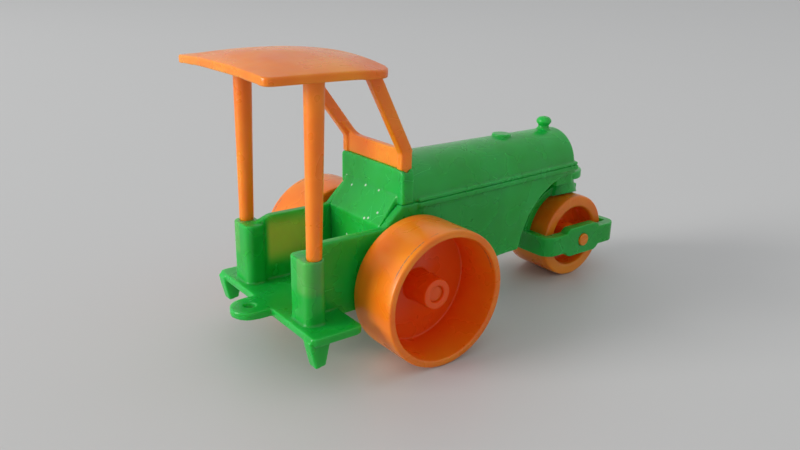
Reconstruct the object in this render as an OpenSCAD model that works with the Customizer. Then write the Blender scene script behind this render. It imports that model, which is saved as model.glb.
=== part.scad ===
// Toy road roller, moulded in green and orange plastic.
// X points forward, Y to the left, Z up. The origin is on the ground,
// under the middle of the whole length.

/* [Layout] */
// Distance between the rear axle and the front axle
wheelbase = 40.5; // [36:0.5:50]
// Width of the body over its side walls
body_w = 15.6; // [14:0.2:20]
// Thickness of the body mouldings
wall_t = 1.2; // [0.8:0.1:1.5]
// Radial gap between a turning pin and its hole
run_gap = 0.05; // [0.02:0.01:0.1]
// Gap between mouldings that only locate each other
seat_gap = 0.1; // [0.05:0.01:0.2]

/* [Rear wheels] */
// Diameter of the rear wheels
rear_wheel_d = 20; // [18:0.5:24]
// Width of the tread of one rear wheel
rear_wheel_w = 8.4; // [6:0.2:12]
// Gap between a rear wheel and the side of the body
rear_wheel_gap = 1.05; // [0.6:0.05:2]
// Thickness of the rim and of the web
rear_rim_t = 1.15; // [0.8:0.05:1.6]
// Diameter of the hub
rear_hub_d = 4.5; // [4:0.1:6]
// Depth of the hub's end below the open face
rear_hub_inset = 2.3; // [1:0.1:5]
// Diameter of the rear axle
rear_axle_d = 2.4; // [1.8:0.1:3]
// Depth of the axle's end inside the hub
rear_axle_inset = 0.4; // [0.2:0.1:1]
// Gap between the hubs and the body
rear_hub_gap = 0.4; // [0.2:0.05:0.6]

/* [Front roller] */
// Diameter of the front roller
roller_d = 14.9; // [13:0.1:16]
// Width of the front roller
roller_w = 9.4; // [8:0.2:12]
// Thickness of the roller's rim
roller_rim_t = 2.05; // [1.2:0.05:2.6]
// Depth of the recess in each face
roller_recess = 3.2; // [1:0.1:3.6]
// Diameter of the roller's hub
roller_hub_d = 4; // [3.4:0.1:5]
// Diameter of the roller's axle
roller_axle_d = 2.2; // [1.6:0.1:2.6]
// Length of axle that shows outside each arm
roller_axle_proud = 0.3; // [0.1:0.1:0.8]

/* [Yoke] */
// Gap between the roller and the yoke's arms
yoke_side_gap = 0.6; // [0.4:0.1:1.2]
// Gap between the tread and the yoke
yoke_tread_gap = 0.4; // [0.3:0.05:1]
// Thickness of the side arms
yoke_arm_t = 1.7; // [1.2:0.1:2.4]
// Thickness of the crossbars and of the bow
yoke_bar_t = 1.4; // [1:0.1:2]
// Height of the frame around the roller
yoke_h = 3.5; // [2.6:0.1:4]
// Corner radius of the frame
yoke_corner_r = 2.2; // [1.6:0.1:2.8]
// Length of the pads around the axle
yoke_pad_l = 9; // [7:0.5:11]
// Height of the pads around the axle
yoke_pad_h = 5.2; // [4.4:0.1:6]
// Width of the bow over the roller
bow_w = 2.6; // [2:0.1:4]
// Diameter of the thrust cone where it meets the headstock
thrust_d = 5; // [4:0.1:6]
// Diameter of the thrust cone at its foot
thrust_foot_d = 7.4; // [6:0.1:8]
// Height of the thrust cone above the bow
thrust_h = 1; // [0.6:0.1:1.4]
// Diameter of the steering pin
kingpin_d = 2.6; // [2:0.1:3.2]
// How far the snap head stands out of the steering pin
kingpin_head_out = 0.2; // [0.1:0.05:0.4]

/* [Headstock] */
// Radius of the shelf that holds the steering pin
headstock_r = 3.9; // [3.2:0.1:4.4]
// Thickness of the shelf
headstock_t = 1.4; // [1:0.1:2]
// Diameter of the boss on the shelf
headstock_boss_d = 5.2; // [4.6:0.1:6]
// Height of the boss on the shelf
headstock_boss_h = 1.6; // [1:0.1:1.9]

/* [Cab tub] */
// Height of the tub's underside above the ground
tub_z = 7.2; // [6:0.1:9]
// Thickness of the floor
floor_t = 1.1; // [0.8:0.1:1.6]
// Distance from the rear axle back to the tail of the floor
tail_l = 19.4; // [17:0.2:24]
// Height of the side walls above the tub's underside
wall_h = 11.1; // [9:0.1:14]
// Length of the corner columns
column_l = 3.2; // [2.8:0.1:4.5]
// Width of the corner columns
column_w = 5; // [4:0.1:6]
// Height of the corner columns above the tub's underside
column_h = 10.1; // [8:0.1:12]
// Distance from the middle to the outer side of a column
column_out = 10.9; // [10:0.1:13]
// Distance from the tail of the floor to the columns
column_tail = 1; // [0.4:0.1:2]
// Length of the side steps
step_l = 7.6; // [5:0.1:8]
// Distance from the middle to the outer side of a step
step_out = 14.1; // [12:0.1:16]
// Length that the hooks hang below the tub
hook_h = 3.4; // [2:0.1:5]
// Thickness of the hooks
hook_t = 1.7; // [1:0.1:2.4]

/* [Tow lug] */
// Width of the tow lug
tow_w = 5.4; // [4:0.1:8]
// Length of the tow lug behind the floor
tow_l = 4.6; // [4:0.1:8]
// Diameter of the hole in the tow lug
tow_hole_d = 1.6; // [1:0.1:2.4]

/* [Hood] */
// Height of the belt line above the ground
belt_z = 21.2; // [20:0.1:24]
// Height of the hood above the belt line at the cowl
hood_rear_h = 5.5; // [4:0.1:7]
// Height of the hood above the belt line at the nose
hood_nose_h = 5.9; // [4:0.1:7]
// Width of the body at the nose
nose_w = 11.2; // [9:0.2:12]
// Distance from the front axle back to the hood's face
nose_back = 2.2; // [2.2:0.1:4]
// Width that the belt ledge stands out along the sides
ledge_out = 0.35; // [0.2:0.05:0.6]
// Length that the belt ledge stands out at the nose
ledge_front = 0.3; // [0.2:0.05:0.5]
// Thickness of the belt ledge
ledge_t = 0.8; // [0.5:0.1:1.2]
// Height of the lip at the foot of the hood
lip_h = 0.6; // [0.4:0.1:1]
// Distance from the filler cap to the front axle
filler_back = 15.2; // [12:0.1:20]
// Diameter of the filler cap
filler_d = 3.1; // [2:0.1:4]
// Height of the filler cap above the nose's crown
filler_h = 0.1; // [0.1:0.1:1]
// Distance from the radiator cap to the front axle
radiator_back = 5.1; // [4.6:0.1:8]
// Diameter of the radiator cap's head
radiator_d = 2.6; // [2:0.1:3.4]
// Height of the radiator cap above the nose's crown
radiator_h = 2; // [1.6:0.1:3]
// Radius of the wheel arch in the skirts
arch_r = 13.1; // [12:0.1:14]

/* [Cowl] */
// Distance from the rear axle forward to the cowl's front face
cowl_front = 1; // [0.8:0.1:3]
// Thickness of the dash
dash_t = 2.1; // [1.8:0.1:2.6]
// Height of the cowl above the belt line
cowl_h = 5; // [4:0.1:6]
// Radius of the cowl's upper corners
cowl_corner_r = 0.8; // [0.4:0.1:2]
// Length that the console slopes back from the dash
console_l = 3; // [2:0.1:5]

/* [Canopy] */
// Length of the roof
roof_l = 18; // [15:0.1:24]
// Width of the roof
roof_w = 25.6; // [22:0.2:30]
// Distance from the rear axle back to the roof's tail
roof_tail = 24.2; // [21:0.1:28]
// Height of the roof's side rims above the ground
roof_z = 40.1; // [36:0.1:46]
// Thickness of the roof
roof_t = 1.1; // [0.8:0.1:1.5]
// Rise of the roof from its sides to its middle
roof_rise = 1.6; // [1.3:0.1:3]
// Share of the roof's length, from the tail, where it is highest
roof_peak = 0.55; // [0.3:0.05:0.7]
// Fall of the roof's middle from its highest place to the tail
roof_rear_drop = 1.25; // [0:0.05:1.3]
// Fall of the roof's middle from its highest place to the front
roof_front_drop = 0.7; // [0:0.05:1.3]
// Fall of the roof's sides to the front
roof_side_drop = 0.35; // [0:0.05:0.6]
// Radius of the roof's front corners
roof_front_r = 2.6; // [1:0.1:4]
// Radius of the roof's rear corners
roof_rear_r = 1; // [0.6:0.1:2]
// Diameter of the posts under the roof
post_top_d = 2.7; // [2.2:0.1:3.2]
// Diameter of the posts at the columns
post_foot_d = 2.1; // [1.8:0.1:2.6]
// Distance that the posts lean forward over their height
post_lean = 0.45; // [0:0.05:1]
// Diameter of the pegs under the posts
peg_d = 1.7; // [1.2:0.1:1.8]
// Length of the pegs under the posts
peg_l = 5; // [3:0.1:6]
// Distance between the struts at the dash
strut_foot_w = 15; // [10:0.1:15.2]
// Distance between the struts at the roof
strut_top_w = 20.4; // [15:0.1:22]
// Width of a strut, front to back
strut_w = 1.9; // [1.5:0.1:2]
// Thickness of a strut, side to side
strut_t = 1.2; // [1:0.1:1.6]
// Height of the crossbar on the dash
crossbar_h = 2.8; // [2:0.1:4]
// Distance from the rear axle back to the struts' tops
strut_back = 7.8; // [5:0.1:12]
// Diameter of the pegs under the struts
strut_peg_d = 1.1; // [0.8:0.1:1.4]
// Length of the pegs under the struts
strut_peg_l = 2; // [1:0.1:3]

/* [Hidden] */
$fn = 64;
hull_fn = 32;
green = [0.1, 0.62, 0.28];
orange = [0.95, 0.5, 0.15];
eps = 0.01;
far = 100;
soft_r = 0.3;
lip_in = 0.1;

// Places along X, from the rear axle
tail_x = -max(tail_l + tow_l, roof_tail);
yoke_in = roller_d / 2 + yoke_tread_gap;
yoke_out = yoke_in + yoke_bar_t;
front_x = wheelbase + yoke_out;
middle_x = (tail_x + front_x) / 2;
nose_x = wheelbase - nose_back;
column_x0 = -tail_l + column_tail;
column_x1 = column_x0 + column_l;
dash_x = cowl_front - dash_t;
bulkhead_x = wheelbase / 2;

// Heights
rear_axle_z = rear_wheel_d / 2;
front_axle_z = roller_d / 2;
floor_top = tub_z + floor_t;
wall_top = tub_z + wall_h;
column_top = tub_z + column_h;
bow_top = front_axle_z + yoke_out;
thrust_top = bow_top + thrust_h;
headstock_z = thrust_top + seat_gap;
headstock_top = headstock_z + headstock_t;
boss_top = headstock_top + headstock_boss_h;
cowl_top = belt_z + cowl_h;
skirt_z = tub_z + 1.6;
arch_z = belt_z - 1.4 - arch_r;

// Widths, from the middle
body_half = body_w / 2;
nose_half = nose_w / 2;
wheel_in = body_half + rear_wheel_gap;
wheel_out = wheel_in + rear_wheel_w;
hub_in = body_half + rear_hub_gap;
hub_out = wheel_out - rear_hub_inset;
arm_in = roller_w / 2 + yoke_side_gap;
arm_out = arm_in + yoke_arm_t;
column_mid = column_out - column_w / 2;
post_y = column_out - post_foot_d / 2 - soft_r / 2;
post_x = column_x1 - post_foot_d / 2 - soft_r;
strut_x = dash_x + strut_w / 2;

// Places of the roof's slices, from its tail, closer together round the corners
roof_steps = 8;
roof_xs = [
    for (a = [0 : 30 : 90]) roof_rear_r * (1 - cos(a)),
    for (i = [1 : roof_steps])
        roof_rear_r + i * (roof_l - roof_rear_r - roof_front_r) / (roof_steps + 1),
    for (a = [0 : 15 : 90]) roof_l - roof_front_r * (1 - sin(a)),
];

// Half width of the roof, with its round corners, at a place from its tail
function corner_in(r, d) = d > 0 ? r - sqrt(r * r - d * d) : 0;
function roof_half(x) = roof_w / 2 - corner_in(roof_rear_r, roof_rear_r - x)
    - corner_in(roof_front_r, x - roof_l + roof_front_r);

// Height of the roof's upper face: crowned from side to side, and falling to both ends
function bend(from, reach, power) = pow(max(0, from) / reach, power);
function roof_top(x, y) =
    let (peak = roof_peak * roof_l,
         side = roof_z + roof_t - roof_side_drop * bend(x - peak, roof_l - peak, 2),
         middle = roof_z + roof_t + roof_rise - roof_rear_drop * bend(peak - x, peak, 3)
             - roof_front_drop * bend(x - peak, roof_l - peak, 2))
    side + (middle - side) * (1 - pow(2 * y / roof_w, 2));

// Half width of the body at a place along X
function half_at(x) = x <= cowl_front ? body_half :
    body_half - (body_half - nose_half) * (x - cowl_front) / (nose_x - cowl_front);

// Height of the hood above the belt line at a place along X
function hood_at(x) =
    hood_rear_h + (hood_nose_h - hood_rear_h) * (x - cowl_front) / (nose_x - cowl_front);

// Turns a shape's own Z into +Y
module along_y() {
    rotate([-90, 0, 0])
        children();
}

// Gives an outline in X and Z a width along Y
module across(width) {
    rotate([90, 0, 0])
        linear_extrude(height = width, center = true)
            children();
}

module both_sides() {
    children();
    mirror([0, 1, 0])
        children();
}

// Rectangle with round corners, centred
module round_plan(l, w, r) {
    square([l - 2 * r, w], center = true);
    square([l, w - 2 * r], center = true);
    for (i = [-1, 1], j = [-1, 1])
        translate([i * (l / 2 - r), j * (w / 2 - r)])
            circle(r);
}

// Plan of the tapering body, grown outwards, from x0 to x1
module body_plan(grow, x0, x1) {
    knee = min(max(cowl_front, x0), x1);
    polygon([
        [x0, half_at(x0) + grow],
        [knee, half_at(knee) + grow],
        [x1, half_at(x1) + grow],
        [x1, -half_at(x1) - grow],
        [knee, -half_at(knee) - grow],
        [x0, -half_at(x0) - grow],
    ]);
}

// ---- Chassis ----

module side_outline() {
    difference() {
        polygon([
            [column_x1 - column_l / 2, tub_z],
            [rear_axle_z, tub_z],
            [bulkhead_x, skirt_z],
            [nose_x, skirt_z],
            [nose_x, belt_z],
            [dash_x, belt_z],
            [dash_x - console_l, wall_top],
            [column_x1 + 1, wall_top],
            [column_x1 - column_l / 2, column_top],
        ]);
        translate([nose_x - 0.8, arch_z])
            circle(arch_r);
    }
}

module side_walls() {
    intersection() {
        across(far)
            side_outline();
        linear_extrude(height = far)
            difference() {
                body_plan(0, column_x1 - column_l / 2, nose_x);
                body_plan(-wall_t, column_x0 - far, nose_x - wall_t);
            }
    }
}

module belt_ledge() {
    translate([0, 0, belt_z - ledge_t])
        linear_extrude(height = ledge_t)
            difference() {
                body_plan(ledge_out, cowl_front + 1, nose_x + ledge_front);
                body_plan(-wall_t, cowl_front - eps, nose_x - wall_t);
            }
}

module floor_plate() {
    translate([-tail_l, -body_half + eps, tub_z])
        cube([tail_l + cowl_front + rear_axle_d, body_w - 2 * eps, floor_t]);
    translate([-tail_l + step_l / 2, 0, tub_z])
        linear_extrude(height = floor_t)
            round_plan(step_l, 2 * step_out, 0.8);
}

module column() {
    translate([column_x0 + column_l / 2, column_mid, tub_z])
        linear_extrude(height = column_h)
            round_plan(column_l, column_w, 1.2);
}

// Small claw that hangs at each rear corner
module hook() {
    root = 2.6;
    tip = 1;
    translate([-tail_l, step_out - hook_t / 2 - 0.4, tub_z])
        across(hook_t)
            polygon([
                [0.3, floor_t],
                [-0.4, floor_t / 2],
                [-0.2, -0.6],
                [root - 1.1 - tip, -hook_h],
                [root - 0.6, -hook_h + 0.2],
                [root, -0.6],
                [root + 0.4, floor_t],
            ]);
}

module tow_lug() {
    translate([-tail_l - tow_l + tow_w / 2, 0, tub_z])
        linear_extrude(height = floor_t) {
            circle(d = tow_w);
            translate([0, -tow_w / 2])
                square([tow_l, tow_w]);
        }
}

module bulkhead() {
    half = half_at(bulkhead_x + wall_t / 2) - wall_t - seat_gap;
    crown = hood_at(bulkhead_x - wall_t / 2) - wall_t - seat_gap;
    translate([bulkhead_x - wall_t / 2, 0, 0])
        intersection() {
            rotate([90, 0, 90])
                linear_extrude(height = wall_t) {
                    translate([-body_half, skirt_z])
                        square([body_w, belt_z - skirt_z]);
                    translate([0, belt_z])
                        polygon([for (a = [0 : 7.5 : 180]) [half * cos(a), crown * sin(a)]]);
                }
            translate([-bulkhead_x + wall_t / 2, 0, 0])
                linear_extrude(height = far)
                    body_plan(-eps, bulkhead_x - far, bulkhead_x + wall_t);
        }
}

module headstock() {
    root_x = nose_x - 4;
    translate([0, 0, headstock_z])
        linear_extrude(height = headstock_t) {
            translate([wheelbase, 0])
                circle(headstock_r);
            translate([root_x, -headstock_r])
                square([wheelbase - root_x, 2 * headstock_r]);
        }
    translate([root_x, -nose_half + wall_t / 2, headstock_z])
        cube([nose_x - root_x, nose_w - wall_t, belt_z - headstock_z]);
    translate([wheelbase, 0, headstock_z])
        cylinder(d = headstock_boss_d, h = boss_top - headstock_z);
}

module chassis() {
    color(green)
        difference() {
            union() {
                side_walls();
                belt_ledge();
                floor_plate();
                both_sides()
                    column();
                both_sides()
                    hook();
                tow_lug();
                bulkhead();
                headstock();
            }
            translate([0, 0, rear_axle_z])
                along_y()
                    cylinder(d = rear_axle_d + 2 * run_gap, h = far, center = true);
            both_sides()
                translate([post_x, post_y, column_top - peg_l - seat_gap])
                    cylinder(d = peg_d + 2 * run_gap, h = far);
            translate([wheelbase, 0, headstock_z - eps])
                cylinder(d = kingpin_d + 2 * run_gap, h = far);
            translate([-tail_l - tow_l + tow_w / 2, 0, tub_z - eps])
                cylinder(d = tow_hole_d, h = far);
        }
}

// ---- Hood, cowl and console ----

// Half-round slice of the hood that stands on the belt line
module hood_slice(x, half, h, t) {
    translate([x, 0, belt_z])
        rotate([90, 0, 90])
            linear_extrude(height = t)
                intersection() {
                    scale([half, h])
                        circle(1, $fn = hull_fn * 2);
                    translate([-half, 0])
                        square([2 * half, h]);
                }
}

module hood_form(inset, x0, x1, round_nose) {
    hull() {
        hood_slice(x0, half_at(x0) - inset, hood_rear_h - inset, eps);
        hood_slice(x1 - round_nose, half_at(x1) - inset, hood_nose_h - inset, eps);
        hood_slice(x1 - eps, half_at(x1) - inset - round_nose / 2,
            hood_nose_h - inset - round_nose / 2, eps);
    }
}

module filler_cap() {
    translate([wheelbase - filler_back, 0, belt_z + hood_nose_h - wall_t])
        cylinder(d = filler_d, h = wall_t + filler_h);
}

// Knob with a waist, a round head and a foot that reaches into the hood's wall
module radiator_cap() {
    r = radiator_d / 2;
    top = wall_t + radiator_h;
    translate([wheelbase - radiator_back, 0, belt_z + hood_nose_h - wall_t])
        rotate_extrude()
            polygon([
                [0, 0], [r * 0.95, 0], [r * 0.95, top - 2.2], [r * 0.7, top - 1.9],
                [r * 0.7, top - 1.5], [r, top - 1.1], [r, top - 0.7],
                [r * 0.7, top - 0.2], [0, top],
            ]);
}

module cowl() {
    r = cowl_corner_r;
    translate([dash_x, 0, 0])
        rotate([90, 0, 90])
            linear_extrude(height = dash_t) {
                translate([-body_half, belt_z])
                    square([body_w, cowl_h - r]);
                translate([-body_half + r, belt_z])
                    square([body_w - 2 * r, cowl_h]);
                for (side = [-1, 1])
                    translate([side * (body_half - r), cowl_top - r])
                        circle(r);
            }
}

module console() {
    foot = dash_x - console_l + 0.4;
    back = dash_x - console_l;
    across(body_w - 2 * wall_t - 2 * seat_gap)
        polygon([
            [dash_x, belt_z + wall_t],
            [back, wall_top],
            [foot, floor_top],
            [foot + wall_t, floor_top],
            [back + wall_t, wall_top - 0.4],
            [dash_x + wall_t, belt_z - 0.4],
            [dash_x + wall_t, belt_z + wall_t],
        ]);
}

module hood() {
    color(green)
        difference() {
            union() {
                difference() {
                    union() {
                        hood_form(0.2, cowl_front, nose_x, 0.5);
                        translate([0, 0, belt_z])
                            linear_extrude(height = lip_h)
                                body_plan(ledge_out - lip_in, cowl_front + 1, nose_x + ledge_front - lip_in);
                    }
                    translate([0, 0, -eps])
                        hood_form(wall_t, cowl_front - eps, nose_x - wall_t, 0.5);
                }
                filler_cap();
                radiator_cap();
                cowl();
                console();
            }
            both_sides()
                translate([strut_x, strut_foot_w / 2 - strut_t / 2, cowl_top - strut_peg_l - seat_gap])
                    cylinder(d = strut_peg_d + 2 * run_gap, h = far);
        }
}

// ---- Canopy ----

// Arched sheet of even thickness, made of slices from the tail to the front
module roof() {
    n = 16;
    ring = 2 * (n + 1);
    last = len(roof_xs) - 1;
    points = [
        for (x = roof_xs, j = [0 : ring - 1])
            let (low = j > n, k = low ? ring - 1 - j : j, y = roof_half(x) * (1 - 2 * k / n))
                [x - roof_tail, y, roof_top(x, y) - (low ? roof_t : 0)],
    ];
    sides = [
        for (i = [0 : last - 1], j = [0 : ring - 1])
            let (a = i * ring + j, b = i * ring + (j + 1) % ring)
                each [[a, b + ring, b], [a, a + ring, b + ring]],
    ];
    polyhedron(points, concat(
        sides,
        [[for (j = [0 : ring - 1]) j]],
        [[for (j = [0 : ring - 1]) (last + 1) * ring - 1 - j]]
    ));
}

// Tapering post that leans forward, with a straight peg below
module post() {
    translate([post_x, post_y, column_top])
        hull() {
            cylinder(d = post_foot_d, h = eps, $fn = hull_fn);
            translate([post_lean, 0, roof_z + roof_t - column_top])
                cylinder(d = post_top_d, h = eps, $fn = hull_fn);
        }
    translate([post_x, post_y, column_top - peg_l])
        cylinder(d = peg_d, h = peg_l + eps);
}

module strut() {
    top_z = roof_z + roof_t / 2;
    foot_y = strut_foot_w / 2 - strut_t / 2;
    top_y = strut_top_w / 2 - strut_t / 2;
    knee_z = cowl_top + crossbar_h;
    hull() {
        translate([strut_x - strut_w / 2, foot_y - strut_t / 2, knee_z - 0.4])
            cube([strut_w, strut_t, 0.4]);
        translate([-strut_back - strut_w / 2, top_y - strut_t / 2, top_z - 0.4])
            cube([strut_w, strut_t, 0.4]);
    }
    translate([strut_x - strut_w / 2, foot_y - strut_t / 2, cowl_top])
        cube([strut_w, strut_t, crossbar_h - 0.2]);
    translate([strut_x, foot_y, cowl_top - strut_peg_l])
        cylinder(d = strut_peg_d, h = strut_peg_l + eps);
}

module crossbar() {
    translate([strut_x - strut_t / 2, -strut_foot_w / 2 + strut_t / 2, cowl_top])
        cube([strut_t, strut_foot_w - strut_t, crossbar_h]);
}

module canopy() {
    color(orange) {
        roof();
        both_sides()
            post();
        both_sides()
            strut();
        crossbar();
    }
}

// ---- Front yoke ----

module yoke_frame() {
    difference() {
        translate([0, 0, -yoke_h / 2])
            linear_extrude(height = yoke_h)
                difference() {
                    round_plan(2 * yoke_out, 2 * arm_out, yoke_corner_r);
                    round_plan(2 * yoke_in, 2 * arm_in, soft_r);
                }
    }
    for (side = [-1, 1])
        translate([0, side * (arm_in + yoke_arm_t / 2), 0])
            across(yoke_arm_t)
                round_plan(yoke_pad_l, yoke_pad_h, 1.6);
}

// Neck that rises from the rear crossbar and ends over the roller
module bow() {
    intersection() {
        across(bow_w)
            difference() {
                circle(yoke_out);
                circle(yoke_in);
            }
        translate([-far + thrust_foot_d / 2, -far / 2, -yoke_h / 2])
            cube(far);
    }
}

module kingpin() {
    snap_h = 0.9;
    cone_h = thrust_top - front_axle_z - yoke_in;
    difference() {
        translate([0, 0, yoke_in - 1])
            cylinder(d1 = thrust_foot_d, d2 = thrust_d, h = cone_h + 1);
        along_y()
            cylinder(r = yoke_in, h = far, center = true);
    }
    translate([0, 0, yoke_in + yoke_bar_t / 2])
        cylinder(d = kingpin_d, h = boss_top + seat_gap - front_axle_z - yoke_in);
    translate([0, 0, boss_top + seat_gap - front_axle_z])
        cylinder(d1 = kingpin_d + 2 * kingpin_head_out, d2 = kingpin_d - 2 * kingpin_head_out, h = snap_h);
}

module front_yoke() {
    color(green)
        translate([wheelbase, 0, front_axle_z])
            difference() {
                union() {
                    yoke_frame();
                    bow();
                    kingpin();
                }
                along_y()
                    cylinder(d = roller_axle_d + 2 * run_gap, h = far, center = true);
            }
}

// ---- Rolling parts ----

module front_roller() {
    r = roller_d / 2;
    w = roller_w / 2;
    color(orange)
        translate([wheelbase, 0, front_axle_z])
            along_y()
                rotate_extrude($fn = 96)
                    polygon([
                        [roller_axle_d / 2, -w],
                        [roller_hub_d / 2, -w],
                        [roller_hub_d / 2, -w + roller_recess],
                        [r - roller_rim_t, -w + roller_recess],
                        [r - roller_rim_t, -w],
                        [r - soft_r, -w],
                        [r, -w + soft_r],
                        [r, w - soft_r],
                        [r - soft_r, w],
                        [r - roller_rim_t, w],
                        [r - roller_rim_t, w - roller_recess],
                        [roller_hub_d / 2, w - roller_recess],
                        [roller_hub_d / 2, w],
                        [roller_axle_d / 2, w],
                    ]);
}

module front_axle() {
    color(orange)
        translate([wheelbase, 0, front_axle_z])
            along_y()
                cylinder(d = roller_axle_d, h = 2 * (arm_out + roller_axle_proud), center = true);
}

module rear_axle() {
    color(orange)
        translate([0, 0, rear_axle_z])
            along_y()
                cylinder(d = rear_axle_d, h = 2 * (hub_out - rear_axle_inset), center = true);
}

// Cup-shaped wheel on the +Y side, open outwards
module rear_wheel() {
    r = rear_wheel_d / 2;
    translate([0, 0, rear_axle_z])
        along_y()
            rotate_extrude($fn = 128)
                polygon([
                    [rear_axle_d / 2, hub_in],
                    [rear_hub_d / 2, hub_in],
                    [rear_hub_d / 2, wheel_in],
                    [r - soft_r, wheel_in],
                    [r, wheel_in + soft_r],
                    [r, wheel_out - soft_r],
                    [r - soft_r, wheel_out],
                    [r - rear_rim_t, wheel_out],
                    [r - rear_rim_t, wheel_in + rear_rim_t],
                    [rear_hub_d / 2, wheel_in + rear_rim_t],
                    [rear_hub_d / 2, hub_out],
                    [rear_axle_d / 2, hub_out],
                ]);
}

module rear_wheel_left() {
    color(orange)
        rear_wheel();
}

module rear_wheel_right() {
    color(orange)
        mirror([0, 1, 0])
            rear_wheel();
}

translate([-middle_x, 0, 0]) {
    chassis();
    hood();
    canopy();
    front_yoke();
    front_roller();
    front_axle();
    rear_axle();
    rear_wheel_left();
    rear_wheel_right();
}
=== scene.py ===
import math

import bmesh
import bpy
import numpy as np
from mathutils import Euler, Matrix, Vector


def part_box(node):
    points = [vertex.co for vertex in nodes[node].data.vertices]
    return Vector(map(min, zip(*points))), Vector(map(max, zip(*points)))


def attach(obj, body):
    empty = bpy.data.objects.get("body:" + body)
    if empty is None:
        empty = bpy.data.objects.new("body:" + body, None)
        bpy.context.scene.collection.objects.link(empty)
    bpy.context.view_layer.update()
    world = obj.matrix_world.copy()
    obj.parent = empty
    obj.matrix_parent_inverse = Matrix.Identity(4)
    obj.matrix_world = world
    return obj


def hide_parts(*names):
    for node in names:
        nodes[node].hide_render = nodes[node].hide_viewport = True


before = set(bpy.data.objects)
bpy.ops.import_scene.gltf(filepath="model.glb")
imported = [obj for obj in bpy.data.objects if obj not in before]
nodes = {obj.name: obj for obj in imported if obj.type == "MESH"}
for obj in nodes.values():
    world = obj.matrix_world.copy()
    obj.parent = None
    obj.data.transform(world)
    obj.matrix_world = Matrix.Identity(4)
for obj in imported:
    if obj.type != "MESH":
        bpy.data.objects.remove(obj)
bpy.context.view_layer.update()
mm = 0.001


# A socket, or the result of an expression on sockets. Operators add their Math nodes.
class Wire:
    def __init__(self, sheet, socket):
        self.sheet = sheet
        self.socket = socket

    def sum(self, operation, *values):
        return self.sheet.node("ShaderNodeMath", {"operation": operation}, dict(enumerate(values)))

    def __add__(self, other):
        return self.sum("ADD", self, other)

    def __radd__(self, other):
        return self.sum("ADD", other, self)

    def __sub__(self, other):
        return self.sum("SUBTRACT", self, other)

    def __rsub__(self, other):
        return self.sum("SUBTRACT", other, self)

    def __mul__(self, other):
        return self.sum("MULTIPLY", self, other)

    def __rmul__(self, other):
        return self.sum("MULTIPLY", other, self)

    def __abs__(self):
        return self.sum("ABSOLUTE", self)


class Sheet:
    def __init__(self, name):
        self.material = bpy.data.materials.new(name)
        self.material.use_nodes = True
        self.tree = self.material.node_tree
        self.tree.nodes.clear()

    # Adds a node: its settings first, then the values or wires of its sockets
    def node(self, kind, settings=None, sockets=None, output=0):
        made = self.tree.nodes.new(kind)
        for key, value in (settings or {}).items():
            setattr(made, key, value)
        for key, value in (sockets or {}).items():
            if isinstance(value, Wire):
                self.tree.links.new(value.socket, made.inputs[key])
            else:
                made.inputs[key].default_value = value
        return Wire(self, made.outputs[output]) if made.outputs else made

    def noise(self, place, scale, detail=2.0):
        sockets = {"Vector": place, "Scale": scale, "Detail": detail}
        return self.node("ShaderNodeTexNoise", {}, sockets)

    def mix(self, share, first, second):
        sockets = {0: share, 6: first, 7: second}
        return self.node("ShaderNodeMix", {"data_type": "RGBA"}, sockets, output=2)

    # 0 below low, 1 above high, smooth between
    def ramp(self, value, low, high):
        settings = {"interpolation_type": "SMOOTHSTEP"}
        sockets = {"Value": value, "From Min": low, "From Max": high}
        return self.node("ShaderNodeMapRange", settings, sockets)


greenLook = {
    "name": "greenPlastic",
    "deep": (0.006, 0.46, 0.040, 1),
    "base": (0.010, 0.55, 0.075, 1),
    "pale": (0.09, 0.66, 0.25, 1),
    "scatter": 0.9,
    "scatterDepth": 2.2 * mm,
    "scatterTint": (0.25, 1.0, 0.35),
    "seeThrough": 0.30,
    "shine": (0.20, 0.32),
    "gloss": 0.32,
    "paintedGlowAndGlints": True,
}
orangeLook = {
    "name": "orangePlastic",
    "deep": (0.82, 0.17, 0.003, 1),
    "base": (0.93, 0.29, 0.008, 1),
    "pale": (0.93, 0.38, 0.045, 1),
    # painted shade: the deeper orange inside the wheels' cups
    "cup": (0.97, 0.10, 0.001, 1),
    "scatter": 0.6,
    "scatterDepth": 1.5 * mm,
    "scatterTint": (1.0, 0.38, 0.08),
    "seeThrough": 0.10,
    "shine": (0.25, 0.37),
    "gloss": 0.42,
    "paintedGlowAndGlints": False,
}
# Noise scales per metre, and what both plastics share
surfaceLook = {
    "clouds": 110,
    "flow": 240,
    "grain": 2600,
    "pits": 6500,
    "smear": 200,
    "scratchCells": 95,
    "scratchBend": 0.0004,
    "bump": 0.12,
    "bumpHeight": 0.02 * mm,
    "refraction": 1.49,
    "coat": 0.06,
    "coatShine": 0.15,
}
# painted highlights: the pale glinting specks on the console, painted into the colour; their box, in mm,
# their size and their colour
paintedGlintLook = {
    "low": (-17.5, -6.4, 11.5),
    "high": (-13.2, 6.4, 22.5),
    "soft": (0.2, 0.2, 0.2),
    "cells": 900,
    "speck": 0.11,
    "colour": (0.75, 0.92, 0.80, 1),
}

# Painted light: the orange light that comes through thin green walls, painted into the colour: boxes in mm
# with the fade at their edges, a colour and its strength. First the inner faces of the cab's sides, then the
# columns at the pegs.
paintedWallLight = (0.88, 0.66, 0.12, 1)
paintedPegLight = (0.30, 0.50, 0.14, 1)


def glowBoxes(side):
    inner = sorted((side * 5.5, side * 7.15))
    outer = sorted((side * 8.6, side * 12.5))
    wall = {
        "low": (-27.0, inner[0], 13.0),
        "high": (-19.0, inner[1], 15.8),
        "soft": (1.0, 0.1, 3.0),
        "paintedLightColour": paintedWallLight,
        "share": 0.78,
    }
    column = {
        "low": (-31.3, outer[0], 13.2),
        "high": (-28.9, outer[1], 17.3),
        "soft": (0.8, 0.4, 1.0),
        "paintedLightColour": paintedPegLight,
        "share": 0.30,
    }
    return [wall, column]


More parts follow.
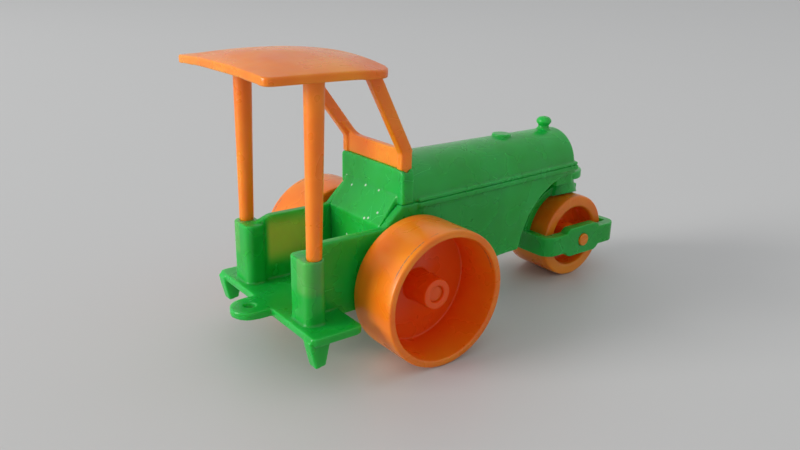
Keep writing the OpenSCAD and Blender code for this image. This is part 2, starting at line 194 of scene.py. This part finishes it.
# 1 inside a box and 0 outside it, with an edge that fades over soft; all in mm, per axis
def insideBox(sheet, place, low, high, soft):
    inside = 1.0
    for i in range(3):
        axis = sheet.node("ShaderNodeSeparateXYZ", {}, {0: place}, output=i)
        inside = sheet.ramp(axis, (low[i] - soft[i]) * mm, low[i] * mm) * inside
        inside = (1 - sheet.ramp(axis, high[i] * mm, (high[i] + soft[i]) * mm)) * inside
    return inside


# scuff: the name, place and width of the grey scuffed line on a wheel's tread
def mouldedPlastic(look, scuff=None):
    skin = surfaceLook
    sheet = Sheet(look["name"] + (scuff["name"] if scuff else ""))
    place = sheet.node("ShaderNodeTexCoord", {}, {}, output="Object")
    clouds = sheet.noise(place, skin["clouds"])
    flow = sheet.noise(place, skin["flow"], 1.0)
    grain = sheet.noise(place, skin["grain"], 3.0)
    pits = sheet.noise(place, skin["pits"])
    rim = sheet.node("ShaderNodeAttribute", {"attribute_name": "rim"}, {}, output="Fac")
    hollow = sheet.node("ShaderNodeAttribute", {"attribute_name": "hollow"}, {}, output="Fac")

    # cloudy colour, paler on standing-out edges as painted light where light gathers in the thin plastic,
    # deeper in the corners as painted shade
    colour = sheet.mix(sheet.ramp(clouds, 0.25, 0.75), look["deep"], look["base"])
    colour = sheet.mix(sheet.ramp(flow, 0.45, 0.85) * 0.10, colour, look["pale"])
    colour = sheet.mix(rim * (0.2 + 0.4 * grain), colour, look["pale"])
    colour = sheet.mix(hollow * 0.35, colour, look["deep"])

    # hairline scratches along the edges of long cells, only here and there
    bend = {0: flow, 1: (skin["scratchBend"],) * 3, 2: place}
    bent = sheet.node("ShaderNodeVectorMath", {"operation": "MULTIPLY_ADD"}, bend)
    stretch = {"Vector": bent, "Rotation": (0.5, 0.3, 0.9), "Scale": (1, 5, 2)}
    long = sheet.node("ShaderNodeMapping", {}, stretch)
    cells = {"Vector": long, "Scale": skin["scratchCells"]}
    lines = sheet.node("ShaderNodeTexVoronoi", {"feature": "DISTANCE_TO_EDGE"}, cells)
    scratch = (1 - sheet.ramp(lines, 0.004, 0.012)) * sheet.ramp(clouds, 0.50, 0.62)
    colour = sheet.mix(scratch * 0.05, colour, look["pale"])

    smear = sheet.ramp(sheet.noise(place, skin["smear"]), 0.30, 0.70)
    shiny, dull = look["shine"]
    rough = shiny + (dull - shiny) * smear + 0.08 * scratch + 0.05 * rim

    if look["paintedGlowAndGlints"]:
        # painted light: the orange that comes through thin green walls, painted into the colour
        for glow in glowBoxes(1) + glowBoxes(-1):
            area = insideBox(sheet, place, glow["low"], glow["high"], glow["soft"])
            colour = sheet.mix(area * glow["share"], colour, glow["paintedLightColour"])
        # painted highlights: pale glint specks on the console
        cells = {"Vector": place, "Scale": paintedGlintLook["cells"]}
        far = sheet.node("ShaderNodeTexVoronoi", {}, cells, output="Distance")
        pick = sheet.node("ShaderNodeTexVoronoi", {}, cells, output="Color")
        size = paintedGlintLook["speck"]
        speck = (1 - sheet.ramp(far, size, size * 2)) * sheet.ramp(pick, 0.60, 0.62)
        speck = speck * insideBox(sheet, place, paintedGlintLook["low"], paintedGlintLook["high"], paintedGlintLook["soft"])
        colour = sheet.mix(speck, colour, paintedGlintLook["colour"])

    if scuff:
        across = sheet.node("ShaderNodeSeparateXYZ", {}, {0: place}, output=1)
        above = sheet.node("ShaderNodeSeparateXYZ", {}, {0: place}, output=2)
        # painted shade: deeper orange inside the wheel's cup, where less light reaches the recess
        inside = sheet.node("ShaderNodeAttribute", {"attribute_name": "cup"}, {}, output="Fac")
        colour = sheet.mix(inside, colour, look["cup"])
        line = 1 - sheet.ramp(abs(abs(across) - scuff["place"]), scuff["width"] / 2, scuff["width"])
        line = line * sheet.ramp(sheet.noise(place, 210), 0.47, 0.56)
        line = line * sheet.ramp(grain, 0.30, 0.55) * sheet.ramp(above, 10 * mm, 12 * mm)
        colour = sheet.mix(line * 0.75, colour, (0.20, 0.14, 0.12, 1))
        rough = rough + 0.2 * line

    height = 0.12 * grain + 0.05 * pits + 0.3 * flow - 0.02 * scratch
    relief = {"Strength": skin["bump"], "Distance": skin["bumpHeight"], "Height": height}
    bump = sheet.node("ShaderNodeBump", {}, relief)
    shader = sheet.node("ShaderNodeBsdfPrincipled", {"subsurface_method": "RANDOM_WALK"}, {
        "Base Color": colour,
        "Roughness": rough,
        "Normal": bump,
        "IOR": skin["refraction"],
        "Subsurface Weight": look["scatter"],
        "Subsurface Radius": look["scatterTint"],
        "Subsurface Scale": look["scatterDepth"],
        "Transmission Weight": look["seeThrough"],
        "Specular IOR Level": look["gloss"],
        "Coat Weight": skin["coat"],
        "Coat Roughness": skin["coatShine"],
    })
    sheet.node("ShaderNodeOutputMaterial", {}, {"Surface": shader})
    return sheet.material


def link(name, mesh):
    piece = bpy.data.objects.new(name, mesh)
    bpy.context.scene.collection.objects.link(piece)
    return piece


# Where a node's axle crosses the toy's middle plane
def axleOf(node):
    low, high = (Vector(corner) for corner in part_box(node))
    return ((low.x + high.x) / 2, 0, (low.z + high.z) / 2)


def baked(piece):
    graph = bpy.context.evaluated_depsgraph_get()
    mesh = bpy.data.meshes.new_from_object(piece.evaluated_get(graph), depsgraph=graph)
    piece.modifiers.clear()
    piece.data = mesh
    return mesh


# Stores how far each point stands out of (rim) or lies in (hollow) its surroundings, 0 to 1
def markEdges(mesh, reach):
    count = len(mesh.vertices)
    points = np.empty(count * 3)
    mesh.vertices.foreach_get("co", points)
    points = points.reshape(-1, 3)
    normals = np.empty(count * 3)
    mesh.vertices.foreach_get("normal", normals)
    normals = normals.reshape(-1, 3)
    edges = np.empty(len(mesh.edges) * 2, dtype=np.int64)
    mesh.edges.foreach_get("vertices", edges)
    a, b = edges[0::2], edges[1::2]
    degree = np.bincount(edges, minlength=count)
    outward = np.zeros(count)
    step = points[b] - points[a]
    outward -= np.bincount(a, (step * normals[a]).sum(1), count)
    outward += np.bincount(b, (step * normals[b]).sum(1), count)
    outward /= np.maximum(degree, 1) * reach
    for _ in range(6):
        spread = np.bincount(a, outward[b], count) + np.bincount(b, outward[a], count)
        outward = 0.5 * outward + 0.5 * spread / np.maximum(degree, 1)
    for name, values in (("rim", outward), ("hollow", -outward)):
        layer = mesh.attributes.new(name, "FLOAT", "POINT")
        layer.data.foreach_set("value", np.clip(values, 0, 1).astype(np.float32))


# A closed prism from an outline in Y and Z, between two places along X, in mm
def prism(outline, x0, x1):
    shape = bmesh.new()
    near = [shape.verts.new((x0, y, z)) for y, z in outline]
    far = [shape.verts.new((x1, y, z)) for y, z in outline]
    shape.faces.new(near[::-1])
    shape.faces.new(far)
    for i in range(len(outline)):
        j = (i + 1) % len(outline)
        shape.faces.new((near[i], near[j], far[j], far[i]))
    bmesh.ops.recalc_face_normals(shape, faces=shape.faces)
    return shape


# A copy of a CAD piece, fused with its fillets into one skin, with a moulding's soft edges
def moulded(name, node, body, material, mould, fillets=()):
    shape = bmesh.new()
    shape.from_mesh(nodes[node].data)
    bmesh.ops.scale(shape, vec=(1 / mm,) * 3, verts=shape.verts)
    bmesh.ops.remove_doubles(shape, verts=shape.verts, dist=0.0005)
    mesh = bpy.data.meshes.new(name)
    shape.to_mesh(mesh)
    for fillet in fillets:
        extra = bpy.data.meshes.new("fillet")
        fillet.to_mesh(extra)
        shape.from_mesh(extra)
    shape.to_mesh(mesh)
    shape.free()
    piece = link(name, mesh)
    skin = piece.modifiers.new("skin", "REMESH")
    skin.mode = "VOXEL"
    skin.voxel_size = mould["voxel"] * 1
    soften = piece.modifiers.new("soften", "SMOOTH")
    soften.factor = 0.5
    soften.iterations = mould["softness"]
    mesh = baked(piece)
    triangles = 2 * len(mesh.polygons)
    if triangles > mould["triangles"]:
        thin = piece.modifiers.new("thin", "DECIMATE")
        thin.ratio = mould["triangles"] / triangles
        mesh = baked(piece)
    mesh.transform(Matrix.Scale(mm, 4))
    mesh.shade_smooth()
    markEdges(mesh, 0.05 * mm)
    finish(piece, node, body, material)
    return piece


def finish(piece, node, body, material):
    piece.data.materials.clear()
    piece.data.materials.append(material)
    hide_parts(node)
    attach(piece, body)
    print("made", piece.name, len(piece.data.polygons), "faces")


# Rounds the corners of a profile and turns it about an axle that lies along Y
def turningTree():
    tree = bpy.data.node_groups.new("turnedPiece", "GeometryNodeTree")
    face = tree.interface
    face.new_socket("Geometry", in_out="OUTPUT", socket_type="NodeSocketGeometry")
    face.new_socket("Geometry", in_out="INPUT", socket_type="NodeSocketGeometry")
    face.new_socket("Corner Radius", in_out="INPUT", socket_type="NodeSocketFloat")
    face.new_socket("Corner Steps", in_out="INPUT", socket_type="NodeSocketInt")
    face.new_socket("Turn Steps", in_out="INPUT", socket_type="NodeSocketInt")
    face.new_socket("Lathe Radius", in_out="INPUT", socket_type="NodeSocketFloat")
    face.new_socket("Axle", in_out="INPUT", socket_type="NodeSocketVector")
    face.new_socket("Material", in_out="INPUT", socket_type="NodeSocketMaterial")

    def add(kind, links=(), **settings):
        made = tree.nodes.new(kind)
        for key, value in settings.items():
            setattr(made, key, value)
        for key, source in dict(links).items():
            tree.links.new(source, made.inputs[key])
        return made

    given = add("NodeGroupInput").outputs
    curve = add("GeometryNodeMeshToCurve", {"Mesh": given["Geometry"]})
    corners = {"Curve": curve.outputs[0], "Radius": given["Corner Radius"], "Count": given["Corner Steps"]}
    rounded = add("GeometryNodeFilletCurve", corners, mode="POLY")
    rounded.inputs["Limit Radius"].default_value = True
    circle = add("GeometryNodeCurvePrimitiveCircle", {
        "Resolution": given["Turn Steps"], "Radius": given["Lathe Radius"]})
    turned = add("GeometryNodeCurveToMesh", {"Curve": circle.outputs[0], "Profile Curve": rounded.outputs[0]})
    placed = add("GeometryNodeTransform", {"Geometry": turned.outputs[0], "Translation": given["Axle"]})
    placed.inputs["Rotation"].default_value = Euler((-math.pi / 2, 0, 0))
    smooth = add("GeometryNodeSetShadeSmooth", {"Geometry": placed.outputs[0]})
    real = add("GeometryNodeRealizeInstances", {"Geometry": smooth.outputs[0]})
    coated = add("GeometryNodeSetMaterial", {"Geometry": real.outputs[0], "Material": given["Material"]})
    add("NodeGroupOutput", {"Geometry": coated.outputs[0]})
    return tree


# profile: (radius, distance along the axle) pairs in mm, a closed loop
def turned(name, node, body, material, profile, turning):
    lathe = turning["latheRadius"]
    mesh = bpy.data.meshes.new(name)
    points = [(r * mm - lathe, -along * mm, 0) for r, along in profile]
    mesh.from_pydata(points, [(i, (i + 1) % len(points)) for i in range(len(points))], [])
    piece = link(name, mesh)
    shaper = piece.modifiers.new("turning", "NODES")
    shaper.node_group = turning["tree"]
    values = {
        "Corner Radius": turning["cornerRadius"],
        "Corner Steps": turning["cornerSteps"],
        "Turn Steps": turning["turnSteps"],
        "Lathe Radius": lathe,
        "Axle": axleOf(node),
        "Material": material,
    }
    for item in turning["tree"].interface.items_tree:
        if item.in_out == "INPUT" and item.name in values:
            shaper[item.identifier] = values[item.name]
    mesh = baked(piece)
    shape = bmesh.new()
    shape.from_mesh(mesh)
    bmesh.ops.remove_doubles(shape, verts=shape.verts, dist=0.001 * mm)
    bmesh.ops.recalc_face_normals(shape, faces=shape.faces)
    shape.to_mesh(mesh)
    shape.free()
    markEdges(mesh, 0.12 * mm)
    markCup(mesh, values["Axle"], turning["cup"])
    finish(piece, node, body, material)


# Marks the points inside a wheel's cup: 1 within the rim's inner face, 0 outside it
def markCup(mesh, axle, cup):
    layer = mesh.attributes.new("cup", "FLOAT", "POINT")
    for point, value in zip(mesh.vertices, layer.data):
        far = math.hypot(point.co.x - axle[0], point.co.z - axle[2]) / mm
        deep = cup["mouth"] - abs(point.co.y) / mm
        value.value = max(0, min(1, (cup["radius"] - far) / 0.3)) * max(0, min(1, deep / 0.8))


cameraLook = {
    "place": (-74.65, -87.13, 53.06),
    "yaw": 52.67,
    "pitch": -19.13,
    "roll": 1.23,
    "lens": 33.63,
}


def setCamera(look):
    yaw, pitch, roll = (math.radians(look[key]) for key in ("yaw", "pitch", "roll"))
    ahead = Vector((math.cos(pitch) * math.cos(yaw), math.cos(pitch) * math.sin(yaw), math.sin(pitch)))
    right = ahead.cross(Vector((0, 0, 1))).normalized()
    up = right.cross(ahead)
    right, up = (math.cos(roll) * right + math.sin(roll) * up, math.cos(roll) * up - math.sin(roll) * right)
    data = bpy.data.cameras.new("camera")
    data.lens = look["lens"]
    data.sensor_width = 36
    data.clip_start = 0.002
    camera = bpy.data.objects.new("camera", data)
    bpy.context.scene.collection.objects.link(camera)
    turn = Matrix((right, up, -ahead)).transposed().to_4x4()
    camera.matrix_world = Matrix.Translation(Vector(look["place"]) * mm) @ turn
    bpy.context.scene.camera = camera


floorLook = {"reach": 4, "colour": (0.57, 0.57, 0.57, 1), "patch": (0.51, 0.52, 0.51, 1), "shine": 0.45}


def makeFloor(look):
    reach = look["reach"]
    mesh = bpy.data.meshes.new("floor")
    corners = [(x * reach, y * reach, 0) for x, y in ((-1, -1), (1, -1), (1, 1), (-1, 1))]
    mesh.from_pydata(corners, [], [(0, 1, 2, 3)])
    floor = link("floor", mesh)
    sheet = Sheet("paleFloor")
    place = sheet.node("ShaderNodeTexCoord", {}, {}, output="Object")
    colour = sheet.mix(sheet.noise(place, 14, 3.0) * 0.12, look["colour"], look["patch"])
    shader = sheet.node("ShaderNodeBsdfPrincipled", {}, {"Base Color": colour, "Roughness": look["shine"]})
    sheet.node("ShaderNodeOutputMaterial", {}, {"Surface": shader})
    mesh.materials.append(sheet.material)


# each light: place and aim in mm, size in metres, power in watts, colour
lights = {
    "window": {
        "place": (-1500, 480, 480),
        "aim": (-10, 0, 12),
        "size": 0.8,
        "power": 24,
        "colour": (1.0, 0.99, 0.97),
    },
}
roomLook = {"colour": (0.98, 0.99, 1.0, 1), "strength": 0.63}


def makeLights():
    for name, look in lights.items():
        data = bpy.data.lights.new(name, "AREA")
        data.shape = "DISK"
        data.size = look["size"]
        data.energy = look["power"]
        data.color = look["colour"]
        lamp = bpy.data.objects.new(name, data)
        bpy.context.scene.collection.objects.link(lamp)
        lamp.location = Vector(look["place"]) * mm
        ahead = Vector(look["aim"]) * mm - lamp.location
        lamp.rotation_euler = ahead.to_track_quat("-Z", "Y").to_euler()
    world = bpy.data.worlds.new("room")
    world.use_nodes = True
    background = world.node_tree.nodes["Background"]
    background.inputs["Color"].default_value = roomLook["colour"]
    background.inputs["Strength"].default_value = roomLook["strength"]
    bpy.context.scene.world = world
    bpy.context.scene.view_settings.view_transform = "Standard"


setCamera(cameraLook)
makeFloor(floorLook)
makeLights()
print("stage set")

green = mouldedPlastic(greenLook)
orange = mouldedPlastic(orangeLook)

bodyMould = {"voxel": 0.15, "softness": 6, "triangles": 180000}
smallMould = {"voxel": 0.10, "softness": 6, "triangles": 60000}

# the rounded corners between the windscreen's struts and the crossbar, in mm; they lean back with
# the struts
strutFillet = {
    "inner": 6.3,
    "bar": 29.0,
    "reach": 1.9,
    "front": -12.3,
    "back": -13.4,
    "steps": 8,
    "lean": 0.657,
    "sink": 0.4,
}


def strutFillets(look):
    inner, reach, bar, sink = look["inner"], look["reach"], look["bar"], look["sink"]
    turns = [math.pi / 2 * i / look["steps"] for i in range(look["steps"] + 1)]
    curve = [(inner - reach + reach * math.sin(turn), bar + reach - reach * math.cos(turn)) for turn in turns]
    curve += [(inner + sink, bar + reach), (inner + sink, bar - sink), (inner - reach, bar - sink)]
    fillets = []
    for side in (1, -1):
        fillet = prism([(side * y, z) for y, z in curve], look["back"], look["front"])
        for corner in fillet.verts:
            corner.co.x -= look["lean"] * (corner.co.z - bar)
        fillets.append(fillet)
    return fillets


moulded("chassisShell", "chassis", "roller_body", green, bodyMould)
moulded("hoodShell", "hood", "roller_body", green, bodyMould)
moulded("canopyFrame", "canopy", "roller_body", orange, bodyMould, strutFillets(strutFillet))
moulded("steeringYoke", "front_yoke", "front_yoke", green, smallMould)
moulded("rollerPin", "front_axle", "front_roller", orange, smallMould)
print("mouldings made")

turning = {
    "tree": turningTree(),
    "cornerRadius": 0.28 * mm,
    "cornerSteps": 5,
    "turnSteps": 176,
    "latheRadius": 1.0 * mm,
    "cup": {"radius": 9.1, "mouth": 17.2},
}

# sizes in mm, from the middle of the toy outwards
wheelLook = {
    "radius": 10.0,
    "rim": 1.15,
    "hub": 2.25,
    "bore": 1.2,
    "hubIn": 8.2,
    "inner": 8.85,
    "outer": 17.25,
    "web": 1.15,
    "hubOut": 14.95,
}
wheelScuff = {"name": "Scuffed", "place": (wheelLook["outer"] - 0.75) * mm, "width": 0.14 * mm}
rollerScuff = {"name": "Roller", "place": 4.1 * mm, "width": 0.08 * mm}


def wheelProfile(look, side):
    r, rim, hub, bore = look["radius"], look["rim"], look["hub"], look["bore"]
    web = look["inner"] + look["web"]
    half = [
        (bore, look["hubIn"]), (hub, look["hubIn"]), (hub, look["inner"]),
        (r - 0.05, look["inner"]), (r, look["inner"] + 1.2),
        (r, look["outer"] - 1.2), (r - 0.04, look["outer"]),
        (r - rim + 0.08, look["outer"]), (r - rim - 0.12, web), (hub + 0.06, web),
        (hub, look["hubOut"]), (bore, look["hubOut"]),
    ]
    return [(radius, side * along) for radius, along in half]


cupped = mouldedPlastic(orangeLook, rollerScuff)
rod = moulded("axleRod", "rear_axle", "rear_axle", cupped, smallMould)
markCup(rod.data, axleOf("rear_axle"), turning["cup"])
scuffed = mouldedPlastic(orangeLook, wheelScuff)
turned("wheelLeft", "rear_wheel_left", "rear_axle", scuffed, wheelProfile(wheelLook, 1), turning)
turned("wheelRight", "rear_wheel_right", "rear_axle", scuffed, wheelProfile(wheelLook, -1), turning)

rollerLook = {"radius": 7.45, "rim": 2.05, "hub": 2.0, "bore": 1.1, "half": 4.7, "recess": 3.2}


def rollerProfile(look):
    r, half = look["radius"], look["half"]
    side = [(look["bore"], half), (look["hub"], half), (look["hub"] + 0.05, half - look["recess"]),
            (r - look["rim"] - 0.05, half - look["recess"]), (r - look["rim"], half), (r - 0.06, half),
            (r, half - 1.0)]
    return side + [(radius, -along) for radius, along in reversed(side)]


turned("frontRoller", "front_roller", "front_roller", cupped, rollerProfile(rollerLook),
       {**turning, "cornerRadius": 0.4 * mm, "cup": {"radius": 5.6, "mouth": 4.7}})
print("turned pieces made")
